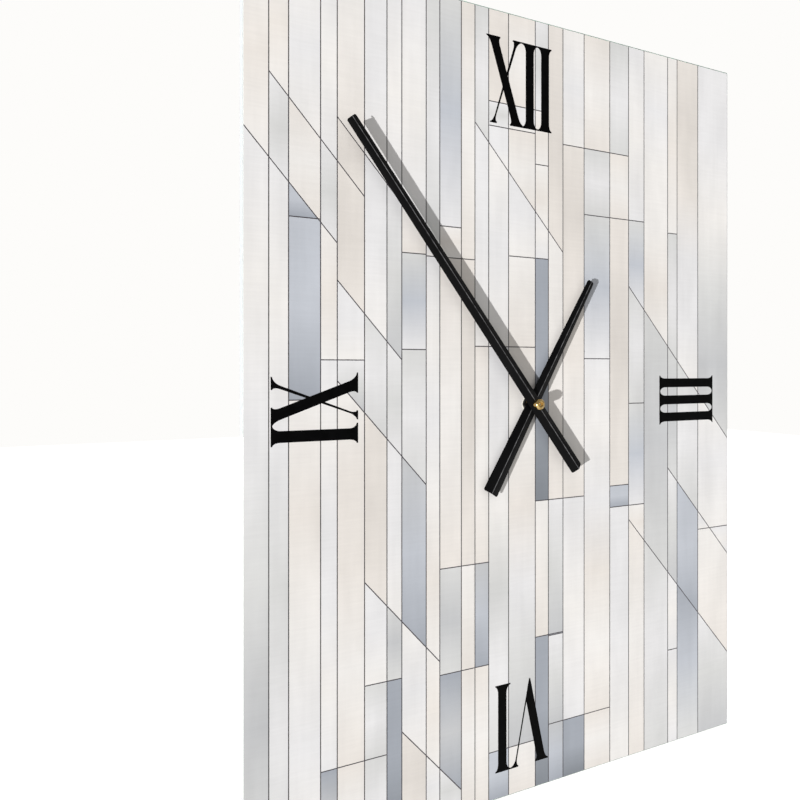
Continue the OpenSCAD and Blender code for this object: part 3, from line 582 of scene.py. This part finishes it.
# Nickel-plated strip and drawn can: pale, slightly yellow metal with fine draw lines.
nickel, tree, shader, place = new_material("nickel_plated_steel", Metallic=1.0, Roughness=0.24)
drawn = add(tree, "TexNoise", {"Vector": place, "Scale": 1 / 0.0006, "Detail": 3.0})
feed(
    shader,
    {
        "Base Color": shades(tree, drawn.outputs[0], (0.3, "#B9B6AE"), (0.7, "#D2CFC8")),
        "Normal": add(
            tree, "Bump", {"Height": drawn.outputs[0], "Strength": 0.1, "Distance": 0.00002}
        ).outputs[0],
    },
)
finish(nickel, "quartz_crystal", "contact_negative", "contact_positive")


# ------------------------------------------------------------------ train plate and cover
# An acetal plate carries the rear pivots and is held by three small screws. The ABS cover
# closes the wheels' room with four, and leaves the battery bay and the knob open.
COVER_ROUND = 0.0003
SCREW_ROUND = 0.00012
finish(acetal, "train_plate")

cover = softened("movement_cover", "back_cover", COVER_ROUND, black_abs)
fix(cover, "clock", "case_black", "back_cover")

# Zinc-plated steel: bluish bright metal, softly clouded by the plating bath.
zinc, tree, shader, place = new_material("zinc_plated_steel", Metallic=1.0, Roughness=0.3)
bath = add(tree, "TexNoise", {"Vector": place, "Scale": 1 / 0.0025, "Detail": 4.0})
feed(
    shader,
    {
        "Base Color": shades(tree, bath.outputs[0], (0.3, "#A9ADB3"), (0.7, "#C9CCD0")),
        "Roughness": add(
            tree, "MapRange", {"Value": bath.outputs[0], "To Min": 0.2, "To Max": 0.42}
        ).outputs[0],
    },
)
for name, node in (("cover_screw_set", "cover_screws"), ("plate_screw_set", "train_plate_screws")):
    screws = softened(name, node, SCREW_ROUND, zinc)
    fix(screws, "clock", "screw_steel", node)


# ------------------------------------------------------------------ setting knob
# White acetal knob at the back, fluted for a fingertip. It turns the hands through its
# pinion, and turns with them while the clock runs.
KNOB_ROUND = 0.00015
knob = softened("knob_and_pinion", "setting_knob", KNOB_ROUND, acetal)
fix(knob, "setting", "plate_white", "setting_knob")


# ------------------------------------------------------------------ battery
# A plain AA cell in a heat-shrunk jacket, rolled over the shoulders at both ends. The can
# is bare steel at the flat end and at the button.
JACKET_LIP = 0.0011
JACKET_THICK = 0.00012
BUTTON_LENGTH = 0.0013
BUTTON_RADIUS = 0.00275
SHOULDER = 0.0007
cell_low, cell_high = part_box("battery")
cell_radius = (cell_high.z - cell_low.z) / 2
can_radius = cell_radius - JACKET_THICK
can_end = cell_high.x - BUTTON_LENGTH
centre_line = Vector((0, (cell_low.y + cell_high.y) / 2, (cell_low.z + cell_high.z) / 2))


def turned(outline, axis, centre, steps=64):
    """A closed surface spun from (place along the axis, radius) points, ends on the axis."""
    form = bmesh.new()
    across = Vector((0, 0, 1)) if axis.z == 0 else Vector((1, 0, 0))
    rim = [form.verts.new(centre + axis * along + across * radius) for along, radius in outline]
    for a, b in zip(rim, rim[1:]):
        form.edges.new((a, b))
    bmesh.ops.spin(
        form, geom=form.verts[:] + form.edges[:], cent=centre, axis=axis, angle=2 * math.pi,
        steps=steps, use_merge=True,
    )
    bmesh.ops.remove_doubles(form, verts=form.verts, dist=1e-7)
    bmesh.ops.recalc_face_normals(form, faces=form.faces)
    return form


x_axis = Vector((1, 0, 0))
can_outline = [
    (cell_low.x + 0.0003, 0), (cell_low.x + 0.0003, can_radius - 0.0022),
    (cell_low.x, can_radius - 0.0018), (cell_low.x, can_radius - SHOULDER),
    (cell_low.x + 0.0002, can_radius - 0.0002), (cell_low.x + SHOULDER, can_radius),
    (can_end - SHOULDER, can_radius), (can_end - 0.0002, can_radius - 0.0002),
    (can_end, can_radius - SHOULDER), (can_end, can_radius - 0.0016),
    (can_end - 0.0002, can_radius - 0.002), (can_end - 0.0002, BUTTON_RADIUS + 0.0006),
    (can_end, BUTTON_RADIUS + 0.0002), (can_end + 0.0001, BUTTON_RADIUS),
    (cell_high.x - 0.0004, BUTTON_RADIUS), (cell_high.x - 0.0001, BUTTON_RADIUS - 0.0002),
    (cell_high.x, BUTTON_RADIUS - 0.0006), (cell_high.x, 0),
]
can = as_object("battery_can", turned(can_outline, x_axis, centre_line), nickel)
smooth(can, 30)
fix(can, "clock", "battery_jacket", "battery")

# Shrunk PVC jacket: glossy, plain deep green with a bare silver-grey band at the button
# end, and the faint lengthwise pull of the shrinking.
jacket_pvc, tree, shader, place = new_material("shrunk_pvc_jacket", Roughness=0.26, Coat_Weight=0.3)
where = add(tree, "SeparateXYZ", {"Vector": place})
run = add(
    tree, "MapRange",
    {"Value": where.outputs["X"], "From Min": cell_low.x, "From Max": cell_high.x},
)
pull = add(tree, "Mapping", {"Vector": place, "Scale": (0.1, 1.0, 1.0)}).outputs[0]
creep = add(tree, "TexNoise", {"Vector": pull, "Scale": 1 / 0.003, "Detail": 2.0})
band = add(tree, "ValToRGB", {"Fac": run.outputs[0]})
band.color_ramp.interpolation = "CONSTANT"
band.color_ramp.elements[0].color = linear("#1F5B4C")
band.color_ramp.elements[1].position = 0.79
band.color_ramp.elements[1].color = linear("#B4B8B6")
feed(
    shader,
    {
        "Base Color": band.outputs[0],
        "Normal": add(
            tree, "Bump", {"Height": creep.outputs[0], "Strength": 0.1, "Distance": 0.00008}
        ).outputs[0],
    },
)
skin_outline = [
    (cell_low.x + 0.0001, can_radius - JACKET_LIP), (cell_low.x, can_radius - JACKET_LIP),
    (cell_low.x - 0.00002, can_radius - SHOULDER), (cell_low.x + 0.00015, cell_radius - 0.0002),
    (cell_low.x + SHOULDER, cell_radius), (can_end - SHOULDER, cell_radius),
    (can_end - 0.00015, cell_radius - 0.0002), (can_end + 0.00002, can_radius - SHOULDER),
    (can_end, can_radius - JACKET_LIP), (can_end - 0.0001, can_radius - JACKET_LIP),
]
skin_outline.append(skin_outline[0])
jacket = as_object("battery_wrap", turned(skin_outline, x_axis, centre_line), jacket_pvc)
smooth(jacket, 30)
fix(jacket, "clock", "battery_jacket", "battery")


# ------------------------------------------------------------------ gasket
# A die-cut rubber pad between movement and glass, so the nut can pull the case up tight
# without marking the panel.

# Black rubber: dead matt, with a little bloom and a fine calendered grain.
black_rubber, tree, shader, place = new_material("black_rubber", Roughness=0.78)
bloom = add(tree, "TexNoise", {"Vector": place, "Scale": 1 / 0.005, "Detail": 5.0})
grain = add(tree, "TexNoise", {"Vector": place, "Scale": 1 / 0.0004, "Detail": 2.0})
feed(
    shader,
    {
        "Base Color": shades(tree, bloom.outputs[0], (0.3, "#18181A"), (0.75, "#29292B")),
        "Normal": add(
            tree, "Bump", {"Height": grain.outputs[0], "Strength": 0.25, "Distance": 0.00006}
        ).outputs[0],
    },
)
finish(black_rubber, "gasket")


# ------------------------------------------------------------------ washer and nut
# A nylon washer spares the print, and a hexagonal nut clamps the panel. The nut is brass,
# plated black so that it stays out of sight behind the hands.
nylon, tree, shader, place = new_material("natural_nylon", Roughness=0.45)
flow = add(tree, "TexNoise", {"Vector": place, "Scale": 1 / 0.002, "Detail": 3.0})
feed(shader, {"Base Color": shades(tree, flow.outputs[0], (0.3, "#D9D6CA"), (0.7, "#E8E6DC"))})
finish(nylon, "fixing_washer")

# Black-plated brass: thin black nickel, half matt, with the brass just warming it.
black_plate, tree, shader, place = new_material("black_nickel_plate", Metallic=0.6, Roughness=0.42)
film = add(tree, "TexNoise", {"Vector": place, "Scale": 1 / 0.003, "Detail": 3.0})
feed(shader, {"Base Color": shades(tree, film.outputs[0], (0.3, "#151414"), (0.7, "#242220"))})
CLAMP_ROUND = 0.00025
clamp = softened("clamp_nut", "fixing_nut", CLAMP_ROUND, black_plate)
fix(clamp, "clock", "black_nut", "fixing_nut")


# ------------------------------------------------------------------ hands
# Each hand is a tapered strip of 0.6 mm sheet folded along its middle, so it is stiff and
# its ridge catches the light. It is lacquered black and riveted to a brass collar.
HAND_SHEET = 0.0006
CLIP = 0.0007
RIDGE_ROUND = 0.0005
EDGE_ROUND = 0.0001
# Length, tail, tail width, tip width, fold height and collar hole in millimetres, and the
# angle past twelve in degrees at which the hand stands at rest.
HANDS = {
    "hour": (96, 65, 11.6, 5.4, 2.0, 3.4, 30.5),
    "minute": (211, 56, 9.6, 7.0, 2.6, 2.3, -38),
}

# Satin black lacquer: baked on, with a fine orange peel of about 0.6 mm and a soft sheen.
black_lacquer, tree, shader, place = new_material(
    "satin_black_lacquer", Specular_IOR_Level=0.07
)
peel = add(tree, "TexNoise", {"Vector": place, "Scale": 1 / 0.0006, "Detail": 2.0})
handled = add(tree, "TexNoise", {"Vector": place, "Scale": 1 / 0.02, "Detail": 4.0})
feed(
    shader,
    {
        "Base Color": shades(tree, handled.outputs[0], (0.3, "#040405"), (0.7, "#0A0A0B")),
        "Roughness": add(
            tree, "MapRange", {"Value": handled.outputs[0], "To Min": 0.34, "To Max": 0.5}
        ).outputs[0],
        "Normal": add(
            tree, "Bump", {"Height": peel.outputs[0], "Strength": 0.1, "Distance": 0.00004}
        ).outputs[0],
    },
)

# Ridge line: the flat face along each hand's fold is coloured a pale metallic grey over the black
# lacquer, a painted highlight for the light the ridge catches.
ridge_highlight_paint, tree, shader, place = new_material("painted_ridge_highlight", Metallic=0.7)
rub = add(tree, "TexNoise", {"Vector": place, "Scale": 1 / 0.004, "Detail": 4.0})
feed(
    shader,
    {
        "Base Color": shades(tree, rub.outputs[0], (0.35, "#3E3E40"), (0.65, "#7E7E80")),
        "Roughness": add(
            tree, "MapRange", {"Value": rub.outputs[0], "To Min": 0.35, "To Max": 0.6}
        ).outputs[0],
    },
)
for hand, (*sizes, turn) in HANDS.items():
    length, tail, tail_w, tip_w, fold, hole = (s / 1000 for s in sizes)
    low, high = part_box(hand + "_hand")
    lift = fold * (1 - tip_w / tail_w)
    form = bmesh.new()
    ends = []
    for z, half, edge_y in ((-tail, tail_w / 2, 0.0), (length, tip_w / 2, -lift)):
        ends.append([
            form.verts.new((-half, edge_y, z)), form.verts.new((0, -fold, z)),
            form.verts.new((half, edge_y, z)),
        ])
    for i in (0, 1):
        form.faces.new((ends[0][i], ends[0][i + 1], ends[1][i + 1], ends[1][i]))
    ridge = [e for e in form.edges if all(abs(v.co.x) < 1e-9 for v in e.verts)]
    corners = [v for v in form.verts if abs(v.co.x) > 1e-9]
    bmesh.ops.bevel(
        form, geom=corners, offset=CLIP, segments=1, profile=0.5, affect="VERTICES", material=-1,
    )
    bmesh.ops.bevel(
        form, geom=ridge, offset=RIDGE_ROUND, offset_type="WIDTH", segments=1, profile=0.5,
        affect="EDGES", material=-1,
    )
    bmesh.ops.recalc_face_normals(form, faces=form.faces)
    if form.faces[0].normal.y > 0:
        bmesh.ops.reverse_faces(form, faces=form.faces)
    bmesh.ops.solidify(form, geom=form.faces, thickness=HAND_SHEET)
    bmesh.ops.recalc_face_normals(form, faces=form.faces)
    front = min(v.co.y for v in form.verts)
    bmesh.ops.translate(form, verts=form.verts, vec=(0, low.y - front, 0))
    bmesh.ops.rotate(
        form, verts=form.verts, cent=(0, 0, 0),
        matrix=Matrix.Rotation(math.radians(turn), 3, "Y"),
    )
    strip = as_object(hand + "_hand_strip", form, black_lacquer, ridge_highlight_paint)
    drill(strip, hole, (low.y - 0.002, high.y + 0.002))
    # The faces that look straight out along the ridge take the painted highlight.
    for face in strip.data.polygons:
        face.material_index = 1 if face.normal.y < -0.985 and face.area > 1e-6 else 0
    softening = strip.modifiers.new("lacquered_edges", "BEVEL")
    softening.width = EDGE_ROUND
    softening.segments = 2
    softening.harden_normals = True
    softening.limit_method = "ANGLE"
    softening.angle_limit = math.radians(50)
    smooth(strip, 40)
    fix(strip, hand, "black_hands", hand + "_hand")


# ------------------------------------------------------------------ hand nut
# Round brass nut on the tip of the minute arbor, turned from bar, polished, with a wide
# chamfer on its face and the arbor's end sunk in its bore.
NUT_CHAMFER = 0.0009
nut_low, nut_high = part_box("hand_nut")
nut_radius = (nut_high.x - nut_low.x) / 2
bore = 0.0014
y_axis = Vector((0, 1, 0))
nut_outline = [
    (nut_high.y, bore), (nut_high.y, nut_radius - 0.0002), (nut_high.y - 0.0002, nut_radius),
    (nut_low.y + NUT_CHAMFER + 0.0001, nut_radius),
    (nut_low.y + NUT_CHAMFER - 0.0001, nut_radius - 0.00008),
    (nut_low.y + 0.0001, nut_radius - NUT_CHAMFER + 0.0001),
    (nut_low.y, nut_radius - NUT_CHAMFER - 0.0001),
    (nut_low.y, bore + 0.0004), (nut_low.y + 0.0003, bore), (nut_high.y, bore),
]

# Polished brass: mirror-bright yellow with the faintest turning rings and a few dull spots.
polished_brass, tree, shader, place = new_material("polished_brass", Metallic=1.0)
rings = add(
    tree, "TexWave", {"Vector": place, "Scale": 1 / (0.0002 * 20), "Distortion": 0.3},
    wave_type="RINGS", rings_direction="Y",
)
touched = add(tree, "TexNoise", {"Vector": place, "Scale": 1 / 0.0015, "Detail": 4.0})
feed(
    shader,
    {
        "Base Color": shades(tree, touched.outputs[0], (0.3, "#A5834A"), (0.7, "#D0B67E")),
        "Roughness": add(
            tree, "MapRange", {"Value": touched.outputs[0], "To Min": 0.1, "To Max": 0.28}
        ).outputs[0],
        "Normal": add(
            tree, "Bump", {"Height": rings.outputs[0], "Strength": 0.12, "Distance": 0.00002}
        ).outputs[0],
    },
)
nut = as_object("round_hand_nut", turned(nut_outline, y_axis, Vector()), polished_brass)
smooth(nut, 25)
fix(nut, "minute", "hand_brass", "hand_nut")


# ------------------------------------------------------------------ wall hangers
# Two hat-shaped hangers bent from steel strip, glued to the glass on foam pads, with
# keyholes for wall screws, and two rubber bumpers that hold the foot of the panel off the wall.
STRIP_ROUND = 0.0003
BUMPER_ROUND = 0.0006
hangers = softened("keyhole_hangers", "hanger_plates", STRIP_ROUND, zinc)
fix(hangers, "clock", "hanger_steel", "hanger_plates")

# Acrylic foam tape: chalk white, closed cells of about 0.3 mm at its cut edges.
foam, tree, shader, place = new_material("acrylic_foam_tape", Roughness=0.85)
cells = add(tree, "TexVoronoi", {"Vector": place, "Scale": 1 / 0.0003})
# Darker in the middle of each cell, where the bump sinks: painted shade in the pores.
feed(
    shader,
    {
        "Base Color": shades(tree, cells.outputs["Distance"], (0.0, "#D9D9D5"), (0.6, "#F0F0EC")),
        "Normal": add(
            tree, "Bump",
            {"Height": cells.outputs["Distance"], "Strength": 0.4, "Distance": 0.0001},
        ).outputs[0],
    },
)
finish(foam, "hanger_pads")
feet = softened("rubber_bumpers", "bumpers", BUMPER_ROUND, black_rubber)
fix(feet, "clock", "bumper_rubber", "bumpers")


# ------------------------------------------------------------------ floor, light and camera
# A plain pale floor under the clock and an even pale world. A small hard light from the
# left draws the hands' shadows, and a broad soft one behind lights the back.
PAPER = "#FDFCFA"
FLOOR_DROP = 0.35
FLOOR_REACH = 6
FLOOR_GLOW = 0.62
EYE = Vector((-0.283, -0.4009, 0.023))
SIGHT = Vector((0.447, 0.894, 0.0))
LENS = 31.55
SHIFT_Y = -0.039
KEY_WAY = Vector((2.0, 1.0, 0.5))
KEY_STRENGTH = 4.2
KEY_SPREAD = 0.8
BACK_WAY = Vector((-0.3, -1.0, -0.5))
BACK_STRENGTH = 1.4
BACK_SPREAD = 118
FILL_STRENGTH = 0.42

form = bmesh.new()
bmesh.ops.create_grid(
    form, x_segments=1, y_segments=1, size=FLOOR_REACH,
    matrix=Matrix.Translation((0, 0, panel_low.z - FLOOR_DROP)),
)
pale_floor, tree, shader, place = new_material(
    "pale_floor", Roughness=0.9, Emission_Strength=FLOOR_GLOW
)
dust = add(tree, "TexNoise", {"Vector": place, "Scale": 1 / 0.4, "Detail": 2.0})
pale = shades(tree, dust.outputs[0], (0.3, PAPER), (0.7, "#FBFAF8"))
feed(shader, {"Base Color": pale, "Emission Color": pale})
floor = as_object("pale_ground", form, pale_floor)
floor.visible_diffuse = False
floor.visible_shadow = False

world = bpy.data.worlds.new("pale_room")
bpy.context.scene.world = world
world.use_nodes = True
room = world.node_tree.nodes["Background"]
seen = add(world.node_tree, "LightPath", {}).outputs["Is Camera Ray"]
brightness = add(
    world.node_tree, "MapRange", {"Value": seen, "To Min": FILL_STRENGTH, "To Max": 1.0}
)
feed(room, {"Color": linear(PAPER), "Strength": brightness.outputs[0]})

for name, way, strength, spread in (
    ("key", KEY_WAY, KEY_STRENGTH, KEY_SPREAD),
    ("back_fill", BACK_WAY, BACK_STRENGTH, BACK_SPREAD),
):
    lamp = bpy.data.lights.new(name, "SUN")
    lamp.energy = strength
    lamp.angle = math.radians(spread)
    held = bpy.data.objects.new(name, lamp)
    held.rotation_mode = "QUATERNION"
    held.rotation_quaternion = way.to_track_quat("-Z", "Y")
    bpy.context.scene.collection.objects.link(held)

lens = bpy.data.cameras.new("camera")
lens.sensor_width = 36
lens.lens = LENS
lens.shift_y = SHIFT_Y
lens.clip_start = 0.01
camera = bpy.data.objects.new("camera", lens)
camera.rotation_mode = "QUATERNION"
camera.location = EYE
camera.rotation_quaternion = SIGHT.to_track_quat("-Z", "Y")
bpy.context.scene.collection.objects.link(camera)
bpy.context.scene.camera = camera
bpy.context.scene.view_settings.view_transform = "Standard"

bpy.context.view_layer.update()
